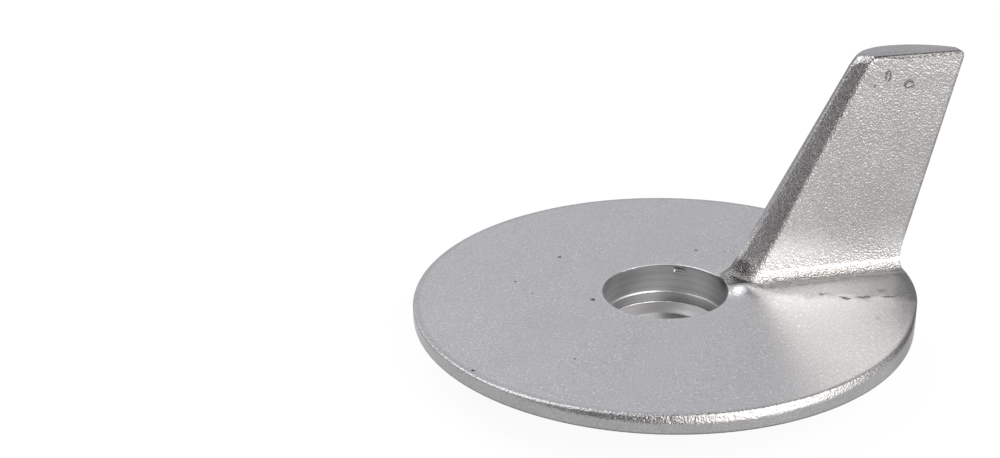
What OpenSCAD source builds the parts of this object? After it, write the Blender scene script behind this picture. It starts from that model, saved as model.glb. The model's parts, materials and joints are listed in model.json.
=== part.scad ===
// Trim tab anode: one sacrificial metal casting. A round disc sits on the
// mounting face. A conical boss with the bolt hole stands under it, with a
// small locating pin beside the boss, and a swept fin stands on top.
//
// Millimetres. The origin is on the bolt axis in the mounting face.
// +Z points along the bolt axis to the fin tip. The pin is on the -X side.

/* [Disc] */
// Diameter of the disc
disc_diameter = 95.3; // [80:0.1:110]
// Disc thickness measured on the bolt axis
disc_thickness = 3.15; // [2.6:0.05:6]
// Tilt of the fin-side face against the mounting face, in degrees
face_tilt = 0.95; // [0:0.05:1.5]
// Heading in which the disc gets thicker, in degrees from +X
face_tilt_heading = -28; // [-180:1:180]
// Chamfer on the edge of the mounting face
mount_edge_chamfer = 0.25; // [0.1:0.05:0.6]
// Lowest height on the rim at which the bevel of the fin-side edge starts
bevel_start = 2.15; // [1.2:0.05:2.5]
// Slope of the bevel, in degrees from the bolt axis
bevel_angle = 26; // [15:1:45]
// Sideways shift of the bevel, so that it fades out on the far side
bevel_shift = 1; // [0:0.05:1.6]
// Heading in which the bevel is deepest, in degrees from +X
bevel_heading = -88; // [-180:1:180]
// How far the rim bulges out under the trailing edge of the fin
lobe_reach = 1.2; // [0.4:0.1:2]
// Radius of the bulge
lobe_radius = 38; // [25:0.5:42]

/* [Boss] */
// Height of the boss below the mounting face
boss_height = 9; // [6:0.1:14]
// Diameter of the flat end of the boss
boss_end_diameter = 19; // [16:0.1:22]
// Diameter of the cone of the boss where it meets the mounting face
boss_root_diameter = 36.4; // [30:0.1:44]
// Radius of the fillet around the foot of the boss
boss_fillet = 1.4; // [0.5:0.1:3]
// Chamfer on the edge of the boss end
boss_edge_chamfer = 0.3; // [0.1:0.05:0.8]

/* [Bolt hole and counterbore] */
// Diameter of the bolt hole
bolt_hole_diameter = 10; // [8:0.1:11]
// Chamfer at the boss end of the bolt hole
bolt_hole_chamfer = 0.45; // [0.1:0.05:1]
// Diameter of the counterbore at the fin-side face
counterbore_diameter = 24; // [22:0.1:26]
// Narrowing of the diameter at the lower land of the counterbore
counterbore_step = 0.5; // [0.2:0.1:1]
// Depth of the upper land below the fin-side face on the bolt axis
counterbore_land = 5.9; // [4:0.1:7]
// Depth of the lower land, where the wall starts to close in
counterbore_wall = 8.2; // [7:0.1:8.6]
// Depth of the flat floor that carries the bolt head
counterbore_depth = 9.5; // [9:0.1:10]
// Diameter of the flat floor of the counterbore
counterbore_floor_diameter = 18.6; // [17:0.1:20]

/* [Locating pin] */
// Diameter of the pin
pin_diameter = 3.7; // [2.5:0.1:5]
// Length of the pin below the mounting face
pin_length = 5.2; // [3:0.1:8]
// Distance of the pin from the bolt axis
pin_distance = 33.2; // [30:0.1:38]
// Chamfer around the end of the pin
pin_chamfer = 0.6; // [0.2:0.1:1.1]
// Radius of the fillet around the foot of the pin
pin_fillet = 0.5; // [0.2:0.1:1.2]

/* [Fin] */
// Heading of the fin against the line through pin and bolt, in degrees
fin_heading = 12; // [0:0.5:16]
// Height of the fin tip above the mounting face, at the near edge
fin_height = 47.1; // [40:0.1:55]
// Slope of the fin tip along the fin, in degrees
fin_tip_slope = 1.2; // [0:0.1:3]
// Draft of the flat side of the fin, in degrees
fin_draft = 2; // [0.5:0.1:3]
// Distance of the flat side from the bolt axis, at the root
fin_flat_offset = -0.4; // [-2:0.1:1]
// Distance from the bolt axis to the nose crease, at the root
fin_crease_root = 17.6; // [16:0.1:20]
// Distance from the bolt axis to the nose crease, at the tip
fin_crease_tip = 39.8; // [36:0.1:42]
// Distance from the bolt axis to the trailing edge, at the root
fin_trail_root = 47.5; // [45:0.1:47.6]
// Distance from the bolt axis to the trailing edge, at the tip
fin_trail_tip = 58.8; // [56:0.1:60]
// Distance from the bolt axis to the leading edge, at the tip
fin_lead_tip = 36.5; // [35:0.1:37.5]
// Distance of the leading edge behind the flat side, at the tip
fin_lead_back = 1.9; // [1.2:0.1:2.6]
// Radius of the leading edge, at the tip
fin_lead_radius = 0.7; // [0.3:0.1:0.9]
// Distance from the bolt axis to the middle of the round side, at the tip
fin_round_middle = 46; // [45:0.1:47]
// Greatest thickness of the fin, at the tip
fin_thickness = 6.8; // [6:0.1:8]
// Radius of the round side behind the thickest place, at the tip
fin_round_radius = 17.7; // [16:0.1:20]
// Radius of the round side ahead of the thickest place, at the tip
fin_nose_radius = 9.1; // [8:0.1:11]
// Radius of the corner between leading edge and tip
fin_lead_corner = 3; // [1:0.1:4]
// Radius of the corner between trailing edge and tip
fin_trail_corner = 1.1; // [0.5:0.1:2]
// Radius of the fillet between the fin and the disc
fin_fillet = 2.7; // [1:0.1:3.5]

/* [Casting flaws] */
// Diameter of the largest pit on the fin-side face
pit_diameter = 1.3; // [0.6:0.1:2]
// Width of the nick across the bevel
nick_width = 0.8; // [0.4:0.1:1.5]
// Length of the chip in the wall of the counterbore
chip_length = 2.4; // [1:0.1:4]

/* [Hidden] */
$fn = 96;
overlap = 0.5;
through = 1;
huge = 400;
disc_radius = disc_diameter / 2;
blank_height = 2 * disc_thickness;
boss_root_radius = boss_root_diameter / 2;
boss_end_radius = boss_end_diameter / 2;
boss_slope = atan((boss_root_radius - boss_end_radius) / boss_height);
bolt_hole_radius = bolt_hole_diameter / 2;
counterbore_radius = counterbore_diameter / 2;
lower_land_radius = counterbore_radius - counterbore_step / 2;
floor_radius = counterbore_floor_diameter / 2;
pin_radius = pin_diameter / 2;

// All faces of the fin run through one apex high above it. The apex is where
// the crease line and the trailing edge line meet.
fin_rise = fin_height - disc_thickness;
crease_run = fin_crease_tip - fin_crease_root;
trail_run = fin_trail_tip - fin_trail_root;
apex_share = (fin_trail_root - fin_crease_root) / (crease_run - trail_run);
apex_x = fin_crease_root + apex_share * crease_run;
apex_z = disc_thickness + apex_share * fin_rise;
apex_y = fin_flat_offset + tan(fin_draft) * (apex_z - disc_thickness);
tip_drop = (apex_z - fin_height) / cos(fin_draft);

function unit(v) = v / norm(v);
function from_apex(x, y) = unit([x - apex_x, y, -tip_drop]);
function forward(v) = v[0] < 0 ? v : -v;

crease_line = from_apex(fin_crease_tip, 0);
lead_line = from_apex(fin_lead_tip, fin_lead_back);
nose_plane = unit(cross(lead_line, crease_line));

// Rear cone of the round side. It touches the plane of greatest thickness.
// The nose cone touches the same plane along the same line.
thick_plane = unit([0, tip_drop, fin_thickness]);
rear_axis = from_apex(fin_round_middle, fin_thickness - fin_round_radius);
rear_angle = asin(-(rear_axis * thick_plane));
nose_angle = asin(sin(rear_angle) * fin_nose_radius / fin_round_radius);
thick_side = unit(thick_plane - (thick_plane * rear_axis) * rear_axis);
nose_axis = rear_axis * cos(rear_angle - nose_angle)
          + thick_side * sin(rear_angle - nose_angle);
round_split = forward(unit(cross(thick_side, rear_axis)));

// Small cone of the leading edge. It touches the nose plane and the nose cone.
lead_angle = atan(fin_lead_radius / tip_drop);
plane_dot = nose_plane * nose_axis;
axis_share = (cos(nose_angle - lead_angle) + plane_dot * sin(lead_angle))
           / (1 - plane_dot * plane_dot);
plane_share = -sin(lead_angle) - axis_share * plane_dot;
rest = 1 - plane_share * plane_share - axis_share * axis_share
     - 2 * plane_share * axis_share * plane_dot;
side_share = sqrt(rest / (1 - plane_dot * plane_dot));
lead_axis = plane_share * nose_plane + axis_share * nose_axis
          + side_share * forward(cross(nose_plane, nose_axis));
lead_touch_plane = unit(lead_axis + nose_plane * sin(lead_angle));
lead_touch_cone = unit(lead_axis * sin(nose_angle) - nose_axis * sin(lead_angle));
lead_split = forward(unit(cross(lead_touch_plane, lead_touch_cone)));

// The foot of the trailing edge stands upright just inside the rim
foot_overrun = 1.05;
rim_setback = 0.3;
rim_end = disc_radius + lobe_reach - rim_setback;
fillet_end = min(fin_trail_root + foot_overrun, rim_end);
foot_end = max(fin_trail_root, fillet_end);
foot_top = disc_thickness + (foot_end - fin_trail_root) * fin_rise / trail_run;

// Fillet foot beside the flat side and beside the nose facet
root_lean = fin_draft + face_tilt * sin(face_tilt_heading - fin_heading);
root_share = (apex_z - disc_thickness) / (apex_z - fin_height);
lead_root = apex_x - (apex_x - fin_lead_tip) * root_share;
lead_root_back = fin_lead_back * root_share;
nose_length = norm([fin_crease_root - lead_root, lead_root_back]);
nose_heading = atan2(-lead_root_back, fin_crease_root - lead_root);
nose_lean = asin(nose_plane[2] * cos(fin_draft) - nose_plane[1] * sin(fin_draft));

// Planes that mitre the fillet at the crease and end it at the leading edge
function upright(v) = [
    -v[0],
    -v[1] * cos(fin_draft) - v[2] * sin(fin_draft),
    v[1] * sin(fin_draft) - v[2] * cos(fin_draft)
];
function away(heading) = [sin(heading), -cos(heading), 0];
mitre_plane = cross(away(nose_heading / 2), upright(crease_line));
lead_plane = cross(away(nose_heading), upright(lead_line));

// Corners of the fin seen from its flat side: distance from the bolt, height
lead_clear = 0.4;
fin_foot = 1;
fin_corner_lead_foot = [
    apex_x - (apex_x - fin_lead_tip) * (apex_z - fin_foot) / (apex_z - fin_height),
    fin_foot
];
fin_corner_trail_foot = [foot_end, foot_top];
fin_corner_lead = [
    fin_lead_tip,
    fin_height - tan(fin_tip_slope) * (fin_crease_tip - fin_lead_tip)
];
fin_corner_trail = [
    fin_trail_tip,
    fin_height + tan(fin_tip_slope) * (fin_trail_tip - fin_crease_tip)
];

// Pits on the fin-side face: x, y and share of the largest diameter
pits = [
    [-13.9, -3.4, 1],
    [-34.8, -30.4, 0.7],
    [-20.2, 16.3, 0.75],
    [-28.7, 5.1, 0.5],
    [-25.3, -0.3, 0.5],
    [7.5, 18.8, 0.6],
    [-17.5, -27, 0.4]
];
pit_depth_share = 0.3;
nick_heading = -79.5;
chip_heading = 72.4;
chip_below_face = 1.1;
chip_radius = 0.55;

// Turns the local Z axis to a given direction
module aim(v) {
    rotate([0, acos(v[2] / norm(v)), atan2(v[1], v[0])])
        children();
}

// Half space behind a plane through the local origin with outward normal v
module behind(v) {
    aim(v)
        translate([-huge, -huge, -huge])
            cube([2 * huge, 2 * huge, huge]);
}

// Cone whose point is the local origin and that opens along v, without its tip
module cone_along(v, angle) {
    near_cut = tip_drop / 2;
    far_cut = tip_drop * 2.2;
    aim(v)
        translate([0, 0, near_cut])
            cylinder(
                h = far_cut - near_cut,
                r1 = near_cut * tan(angle),
                r2 = far_cut * tan(angle)
            );
}

// Local frame of the fin-side face, tilted about the bolt axis
module on_face() {
    translate([0, 0, disc_thickness])
        rotate([0, 0, face_tilt_heading])
            rotate([0, -face_tilt, 0])
                rotate([0, 0, -face_tilt_heading])
                    children();
}

// Round plate: mounting face flat, fin-side face tilted, edge bevelled
module disc() {
    intersection() {
        union() {
            intersection() {
                blank(disc_radius);
                bevel_body();
            }
            at_lobe()
                blank(lobe_radius);
        }
        on_face()
            translate([-huge / 2, -huge / 2, -blank_height])
                cube([huge, huge, blank_height]);
    }
}

// Plate of full height with the chamfer of the mounting face
module blank(radius) {
    rotate_extrude()
        polygon([
            [0, 0],
            [radius - mount_edge_chamfer, 0],
            [radius, mount_edge_chamfer],
            [radius, blank_height],
            [0, blank_height]
        ]);
}

// Cone that cuts the bevel, straight below it
module bevel_body() {
    deepest = disc_radius + bevel_shift;
    widest = deepest + bevel_shift;
    rotate([0, 0, bevel_heading])
        translate([-bevel_shift, 0, 0])
            rotate_extrude()
                polygon([
                    [0, -through],
                    [widest, -through],
                    [widest, bevel_start - bevel_shift / tan(bevel_angle)],
                    [deepest - (blank_height - bevel_start) * tan(bevel_angle), blank_height],
                    [0, blank_height]
                ]);
}

// Centre of the bulge in the rim
module at_lobe() {
    rotate([0, 0, fin_heading])
        translate([disc_radius + lobe_reach - lobe_radius, 0, 0])
            children();
}

// Hollow cone under the disc that reaches into the hull fitting
module boss() {
    foot = boss_fillet * tan((90 - boss_slope) / 2);
    difference() {
        rotate_extrude()
            polygon([
                [0, overlap],
                [boss_root_radius + foot, overlap],
                [boss_root_radius + foot, 0],
                [boss_root_radius - foot * sin(boss_slope), -foot * cos(boss_slope)],
                [
                    boss_end_radius + boss_edge_chamfer * tan(boss_slope),
                    boss_edge_chamfer - boss_height
                ],
                [boss_end_radius - boss_edge_chamfer, -boss_height],
                [0, -boss_height]
            ]);
        rotate_extrude()
            translate([boss_root_radius + foot, -boss_fillet])
                circle(r = boss_fillet);
    }
}

// Small round pin that sets the angle of the casting
module locating_pin() {
    translate([-pin_distance, 0, 0])
        difference() {
            rotate_extrude()
                polygon([
                    [0, overlap],
                    [pin_radius + pin_fillet, overlap],
                    [pin_radius + pin_fillet, 0],
                    [pin_radius, -pin_fillet],
                    [pin_radius, pin_chamfer - pin_length],
                    [pin_radius - pin_chamfer, -pin_length],
                    [0, -pin_length]
                ]);
            rotate_extrude()
                translate([pin_radius + pin_fillet, -pin_fillet])
                    circle(r = pin_fillet);
        }
}

// Counterbore with two lands, closing wall and floor, then the bolt hole
module bolt_passage() {
    face = disc_thickness;
    above = 4 * fin_fillet;
    rotate_extrude()
        polygon([
            [0, face + above],
            [counterbore_radius, face + above],
            [counterbore_radius, face - counterbore_land],
            [lower_land_radius, face - counterbore_land - counterbore_step / 2],
            [lower_land_radius, face - counterbore_wall],
            [floor_radius, face - counterbore_depth],
            [bolt_hole_radius, face - counterbore_depth],
            [bolt_hole_radius, bolt_hole_chamfer - boss_height],
            [bolt_hole_radius + bolt_hole_chamfer + through, -boss_height - through],
            [0, -boss_height - through]
        ]);
}

// Flat shape of the fin seen from its flat side, with sharp corners
module fin_outline() {
    polygon([
        fin_corner_lead_foot - [lead_clear, 0],
        fin_corner_lead - [lead_clear, 0],
        fin_corner_trail,
        fin_corner_trail_foot,
        [foot_end, fin_foot]
    ]);
}

// Both corners of the tip, as flat shapes that are taken away
module fin_tip_corners() {
    corner_cut(fin_corner_lead, fin_corner_lead_foot, fin_corner_trail, fin_lead_corner);
    corner_cut(fin_corner_trail, fin_corner_trail_foot, fin_corner_lead, fin_trail_corner);
}

module across_fin() {
    rotate([90, 0, 0])
        linear_extrude(height = 8 * fin_thickness, center = true)
            children();
}

// What has to go to round the corner of an outline between two neighbours
module corner_cut(corner, before, after, radius) {
    to_before = unit(before - corner);
    to_after = unit(after - corner);
    half = acos(to_before * to_after) / 2;
    outward = -unit(to_before + to_after);
    cut = radius / tan(half);
    middle = corner - outward * radius / sin(half);
    difference() {
        polygon([
            middle,
            corner + to_before * cut,
            corner + to_before * cut + outward * radius,
            corner + outward * radius,
            corner + to_after * cut + outward * radius,
            corner + to_after * cut
        ]);
        translate(middle)
            circle(r = radius);
    }
}

// Endless foil below the apex: flat side, nose facet and round side
module foil() {
    translate([apex_x, apex_y, apex_z])
        rotate([-fin_draft, 0, 0])
            union() {
                intersection() {
                    behind([0, -1, 0]);
                    behind(nose_plane);
                    behind(lead_split);
                    union() {
                        intersection() {
                            cone_along(rear_axis, rear_angle);
                            behind(round_split);
                        }
                        intersection() {
                            cone_along(nose_axis, nose_angle);
                            behind(-round_split);
                        }
                    }
                }
                cone_along(lead_axis, lead_angle);
            }
}

// Concave strip along the foot of a wall that runs along +X
module fillet_strip(length, lean) {
    foot = fin_fillet * tan((90 - lean) / 2);
    rotate([90, 0, 90])
        linear_extrude(height = length)
            fillet_profile(foot, lean);
}

module fillet_profile(foot, lean) {
    difference() {
        polygon([
            [-foot, -overlap],
            [-foot, 0],
            [foot * sin(lean), foot * cos(lean)],
            [foot * sin(lean) + overlap, foot * cos(lean)],
            [overlap, -overlap]
        ]);
        translate([-foot, fin_fillet])
            circle(r = fin_fillet);
    }
}

// Swept fin with its fillets, turned against the pin line
module fin() {
    rotate([0, 0, fin_heading])
        difference() {
            intersection() {
                across_fin()
                    fin_outline();
                foil();
            }
            across_fin()
                fin_tip_corners();
        }
    on_face()
        rotate([0, 0, fin_heading])
            translate([fin_crease_root, fin_flat_offset, 0]) {
                intersection() {
                    translate([-fin_fillet, 0, 0])
                        fillet_strip(fillet_end - fin_crease_root + fin_fillet, root_lean);
                    behind(mitre_plane);
                }
                intersection() {
                    rotate([0, 0, nose_heading])
                        translate([-nose_length - fin_fillet, 0, 0])
                            fillet_strip(nose_length + 2 * fin_fillet, nose_lean);
                    behind(-mitre_plane);
                    translate([lead_root - fin_crease_root, lead_root_back, 0])
                        behind(lead_plane);
                }
            }
}

// Pits, the nick across the bevel and the chip in the counterbore wall
module flaws() {
    on_face()
        for (pit = pits)
            pit_at(pit[0], pit[1], pit_diameter * pit[2]);
    rotate([0, 0, nick_heading])
        translate([disc_radius, 0, disc_thickness + nick_width / 2])
            rotate([0, -45, 0])
                cylinder(h = 3 * nick_width, r = nick_width / 2, center = true);
    rotate([0, 0, chip_heading])
        translate([counterbore_radius, 0, disc_thickness - chip_below_face])
            rotate([90, 0, 0])
                cylinder(h = chip_length, r = chip_radius, center = true);
}

// Dimple whose mouth has the given diameter
module pit_at(x, y, mouth) {
    depth = mouth * pit_depth_share;
    ball = (mouth * mouth / 4 + depth * depth) / (2 * depth);
    translate([x, y, ball - depth])
        sphere(r = ball);
}

// The whole casting in one piece
module anode() {
    color([0.68, 0.68, 0.69])
        difference() {
            union() {
                disc();
                boss();
                locating_pin();
                fin();
            }
            bolt_passage();
            flaws();
        }
}

anode();
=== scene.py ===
import json
import math
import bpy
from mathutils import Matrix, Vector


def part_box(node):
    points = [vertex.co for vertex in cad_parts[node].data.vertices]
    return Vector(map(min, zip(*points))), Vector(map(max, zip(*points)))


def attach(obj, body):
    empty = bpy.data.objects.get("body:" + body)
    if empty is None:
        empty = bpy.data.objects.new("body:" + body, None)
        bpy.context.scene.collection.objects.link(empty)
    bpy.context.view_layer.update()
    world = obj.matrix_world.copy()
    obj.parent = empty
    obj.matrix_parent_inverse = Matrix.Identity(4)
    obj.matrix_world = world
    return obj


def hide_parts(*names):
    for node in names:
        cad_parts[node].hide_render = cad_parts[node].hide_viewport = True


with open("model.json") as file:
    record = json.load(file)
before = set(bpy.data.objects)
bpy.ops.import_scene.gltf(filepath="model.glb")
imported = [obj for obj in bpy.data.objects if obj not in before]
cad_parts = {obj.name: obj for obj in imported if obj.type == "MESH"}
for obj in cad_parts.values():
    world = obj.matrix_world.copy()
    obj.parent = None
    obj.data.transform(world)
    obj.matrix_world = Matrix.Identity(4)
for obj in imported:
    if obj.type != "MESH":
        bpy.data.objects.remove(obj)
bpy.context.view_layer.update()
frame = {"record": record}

from types import SimpleNamespace

import bpy
import numpy as np
from mathutils import Matrix, Vector

# The casting is modelled here as one distance field, in millimetres, in the
# row frame: origin on the bolt axis in the mounting face, +Z to the fin tip,
# locating pin on the -X side. The field is meshed, and the mesh stands for
# the one CAD node.

MM = 0.001
NODE = "anode"
MOUNTS = {mount["name"]: mount for mount in frame["record"]["mounts"]}


def mount_radius(name):
    return MOUNTS[name]["dims"]["r_mm"]


# Sizes that the frame gives
LOW = [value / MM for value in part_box(NODE)[0]]
HIGH = [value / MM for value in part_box(NODE)[1]]
DISC_RADIUS = -LOW[0]
BOSS_HEIGHT = -LOW[2]
BORE_RADIUS = mount_radius("counterbore")
HOLE_RADIUS = mount_radius("bolt_hole")
PIN_RADIUS = mount_radius("locating_pin")
PIN_DISTANCE = -MOUNTS["locating_pin"]["pos_m"][0] / MM

# Disc
DISC_THICKNESS = 3.15
FACE_TILT = math.radians(0.95)
FACE_TILT_HEADING = math.radians(-28)
BEVEL_START = 2.15
BEVEL_ANGLE = math.radians(26)
BEVEL_SHIFT = 1.0
BEVEL_HEADING = math.radians(-88)
LOBE_REACH = 1.2
LOBE_RADIUS = 38.0

# Boss, bore and pin. The boss and the pin start inside the disc, and the
# passage for the bolt runs on above the face and below the boss.
BOSS_END_RADIUS = 9.5
BOSS_ROOT_RADIUS = 18.2
SEAT_DEPTH = 1.0
BORE_LAND = 5.9
BORE_STEP = 0.25
BORE_WALL = 8.2
BORE_DEPTH = 9.5
BORE_FLOOR_RADIUS = 9.3
HOLE_CHAMFER = 0.45
PASSAGE_ABOVE = 20.0
PASSAGE_BELOW = 1.0
PIN_LENGTH = 5.2

# Fin
FIN_HEADING = math.radians(12)
FIN_HEIGHT = 47.1
FIN_TIP_SLOPE = math.radians(1.2)
FIN_DRAFT = math.radians(2)
FIN_FLAT_OFFSET = -0.4
FIN_CREASE_ROOT = 17.6
FIN_CREASE_TIP = 39.8
FIN_TRAIL_ROOT = 47.5
FIN_TRAIL_TIP = 58.8
FIN_LEAD_TIP = 36.5
FIN_LEAD_BACK = 1.9
FIN_LEAD_RADIUS = 0.7
FIN_ROUND_MIDDLE = 46.0
FIN_THICKNESS = 6.8
FIN_ROUND_RADIUS = 17.7
FIN_NOSE_RADIUS = 9.1
FIN_LEAD_CORNER = 3.0
FIN_TRAIL_CORNER = 1.1
FIN_FOOT = 1.0
FOOT_OVERRUN = 1.05
RIM_SETBACK = 0.3

# Roundings of the edges and fillets of the inner corners. The fillet of the
# fin is smaller at the nose, and the edge is rounder at the tip's front corner.
TOP_EDGE = 0.4
BEVEL_EDGE = 0.12
MOUNT_EDGE = 0.25
BORE_EDGE = 0.15
BOSS_EDGE = 0.3
BOSS_FILLET = 0.7
PIN_EDGE = 0.5
PIN_FILLET = 0.5
FIN_FILLET = 2.3
FILLET_REACH = 1.7 * FIN_FILLET
LEAD_FILLET = 0.6
LEAD_PLACE = (13.5, 3.0)
LEAD_SPREAD = 2.4
LEAD_CORNER_EDGE = 1.7
LEAD_CORNER_PLACE = (37.6, 0.6, 46.6)
LEAD_CORNER_SPREAD = 2.2
FIN_EDGE = 0.35
LOBE_BLEND = 0.4
FOOT_BLEND = 0.5

# Low mounds before the nose, at the edge of the counterbore: place, height
# and spread
MOUNDS = [
    (14.9, -0.6, 1.1, 1.9),
    (12.9, 4.9, 0.9, 1.5),
]

# Casting flaws: pits by place and width of the mouth, the nick across the
# bevel, and the chip in the wall of the counterbore
FACE_PITS = [
    (-13.9, -3.4, 1.3),
    (-34.8, -30.4, 0.91),
    (-20.2, 16.3, 0.98),
    (-28.7, 5.1, 0.65),
    (-25.3, -0.3, 0.65),
    (7.5, 18.8, 0.78),
    (-17.5, -27.0, 0.52),
]
PIT_DEPTH_SHARE = 0.3
NICK_HEADING = math.radians(-79.5)
NICK_RADIUS = 0.4
NICK_INNER_END = 1.2 * BORE_RADIUS
CHIP_HEADING = math.radians(72.4)
CHIP_BELOW_FACE = 1.1
CHIP_RADIUS = 0.55
CHIP_LENGTH = 2.4

# Grid of the mesher. Above the slab only a block around the fin is sampled,
# and the rest counts as far outside.
GRID_STEP = 0.3
SLAB_STEP = 0.25
FIN_STEP = 0.4
SLAB_TOP = 5.2
MARGIN = 0.6
FIN_BLOCK_FRONT = 10
FIN_BLOCK_SIDES = (-4, 24)
FAR_OUTSIDE = 9
ROWS_AT_ONCE = 60

# Mesher: the reach of a slope's probe, rounds and limits of its searches,
# the pull of a corner to the middle of its crossings, what counts as flat,
# and the number of triangles that the thinning aims at
PROBE = 0.04
TINY = 1e-9
CROSSING_ROUNDS = 3
MIDDLE_PULL = 0.03
SETTLE_ROUNDS = 3
SETTLE_STRIDE = 0.15
SLOPE_FLOOR = 0.3
FLAT_REACH = 0.9
FLAT_COSINE = 0.99999
FLAT_GAP = 0.01
FLAT_FIRST = 100
TRIANGLES_WANTED = 190000


def unit(vector):
    vector = np.asarray(vector, float)
    return vector / np.linalg.norm(vector)


def forward(vector):
    """The same line, with its direction towards the nose."""
    return -vector if vector[0] >= 0 else vector


# Apex in which all faces of the fin meet, in the frame of the fin
fin_rise = FIN_HEIGHT - DISC_THICKNESS
crease_run = FIN_CREASE_TIP - FIN_CREASE_ROOT
trail_run = FIN_TRAIL_TIP - FIN_TRAIL_ROOT
apex_share = (FIN_TRAIL_ROOT - FIN_CREASE_ROOT) / (crease_run - trail_run)
APEX_X = FIN_CREASE_ROOT + apex_share * crease_run
APEX_Z = DISC_THICKNESS + apex_share * fin_rise
APEX_Y = FIN_FLAT_OFFSET + math.tan(FIN_DRAFT) * (APEX_Z - DISC_THICKNESS)
TIP_DROP = (APEX_Z - FIN_HEIGHT) / math.cos(FIN_DRAFT)


def from_apex(x, y):
    """Direction from the apex to a place at the height of the tip."""
    return unit([x - APEX_X, y, -TIP_DROP])


CREASE_LINE = from_apex(FIN_CREASE_TIP, 0)
NOSE_PLANE = unit(np.cross(from_apex(FIN_LEAD_TIP, FIN_LEAD_BACK), CREASE_LINE))
thick_plane = unit([0, TIP_DROP, FIN_THICKNESS])
REAR_AXIS = from_apex(FIN_ROUND_MIDDLE, FIN_THICKNESS - FIN_ROUND_RADIUS)
REAR_ANGLE = math.asin(-(REAR_AXIS @ thick_plane))
NOSE_ANGLE = math.asin(math.sin(REAR_ANGLE) * FIN_NOSE_RADIUS / FIN_ROUND_RADIUS)
THICK_SIDE = unit(thick_plane - (thick_plane @ REAR_AXIS) * REAR_AXIS)
NOSE_AXIS = (REAR_AXIS * math.cos(REAR_ANGLE - NOSE_ANGLE)
             + THICK_SIDE * math.sin(REAR_ANGLE - NOSE_ANGLE))
ROUND_SPLIT = forward(unit(np.cross(THICK_SIDE, REAR_AXIS)))

LEAD_ANGLE = math.atan(FIN_LEAD_RADIUS / TIP_DROP)


def lead_axis():
    """Axis of the leading edge, a small cone that touches the nose plane and
    the nose cone."""
    lean = NOSE_PLANE @ NOSE_AXIS
    across = 1 - lean ** 2
    on_axis = (math.cos(NOSE_ANGLE - LEAD_ANGLE) + lean * math.sin(LEAD_ANGLE)) / across
    on_plane = -math.sin(LEAD_ANGLE) - on_axis * lean
    rest = 1 - on_plane ** 2 - on_axis ** 2 - 2 * on_plane * on_axis * lean
    aside = math.sqrt(rest / across) * forward(np.cross(NOSE_PLANE, NOSE_AXIS))
    return on_plane * NOSE_PLANE + on_axis * NOSE_AXIS + aside


LEAD_AXIS = lead_axis()
LEAD_TO_PLANE = unit(NOSE_PLANE - (NOSE_PLANE @ LEAD_AXIS) * LEAD_AXIS)
LEAD_TO_CONE = -unit(NOSE_AXIS - (NOSE_AXIS @ LEAD_AXIS) * LEAD_AXIS)


def rounded_cut(a, b, radius):
    """Intersection of two solids with a rounded edge."""
    over = np.hypot(np.maximum(radius + a, 0), np.maximum(radius + b, 0))
    return np.minimum(-radius, np.maximum(a, b)) + over


def filleted_join(a, b, radius):
    """Union of two solids with a fillet in the corner."""
    under = np.hypot(np.maximum(radius - a, 0), np.maximum(radius - b, 0))
    return np.maximum(radius, np.minimum(a, b)) - under


def blended_join(a, b, width):
    """Union of two solids that meet at a small angle."""
    near = np.maximum(width - np.abs(a - b), 0) / width
    return np.minimum(a, b) - near ** 2 * width / 4


def bell(square, spread):
    """1 in the middle, falling off to 0 with the square of the distance."""
    return np.exp(square / (-2 * spread ** 2))


def dot(q, vector):
    return q[0] * vector[0] + q[1] * vector[1] + q[2] * vector[2]


def cone_distance(q, axis, angle):
    """Distance to a cone with its point in the local origin."""
    along = dot(q, axis)
    square = q[0] ** 2 + q[1] ** 2 + q[2] ** 2 - along ** 2
    return np.sqrt(np.maximum(square, 0)) * math.cos(angle) - along * math.sin(angle)


def polygon_distance(u, v, points):
    """Distance to a closed outline in the plane, negative inside."""
    best = None
    inside = None
    for i, (bu, bv) in enumerate(points):
        au, av = points[i - 1]
        eu, ev = bu - au, bv - av
        share = ((u - au) * eu + (v - av) * ev) / (eu * eu + ev * ev)
        share = np.clip(share, 0, 1)
        gap = (u - au - share * eu) ** 2 + (v - av - share * ev) ** 2
        best = gap if best is None else np.minimum(best, gap)
        if ev != 0:
            crossed = ((av > v) != (bv > v)) & (u < au + (v - av) / ev * eu)
            inside = crossed if inside is None else inside ^ crossed
    gap = np.sqrt(best)
    return np.where(inside, -gap, gap)


FACE_NORMAL = np.array([
    -math.sin(FACE_TILT) * math.cos(FACE_TILT_HEADING),
    -math.sin(FACE_TILT) * math.sin(FACE_TILT_HEADING),
    math.cos(FACE_TILT),
])


def face_distance(x, y, z):
    """Height above the tilted fin-side face."""
    return x * FACE_NORMAL[0] + y * FACE_NORMAL[1] + (z - DISC_THICKNESS) * FACE_NORMAL[2]


def raised_face(x, y, z):
    """Height above the face with its low mounds before the nose of the fin."""
    height = face_distance(x, y, z)
    for mound_x, mound_y, rise, spread in MOUNDS:
        square = (x - mound_x) ** 2 + (y - mound_y) ** 2
        height = height - rise * bell(square, spread)
    return height


def face_height(x, y):
    return DISC_THICKNESS - (x * FACE_NORMAL[0] + y * FACE_NORMAL[1]) / FACE_NORMAL[2]


def lobe(x, y):
    """Distance to the bulge of the rim under the trailing edge."""
    offset = DISC_RADIUS + LOBE_REACH - LOBE_RADIUS
    u, w = to_fin(x, y)
    return np.hypot(u - offset, w) - LOBE_RADIUS


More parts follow.
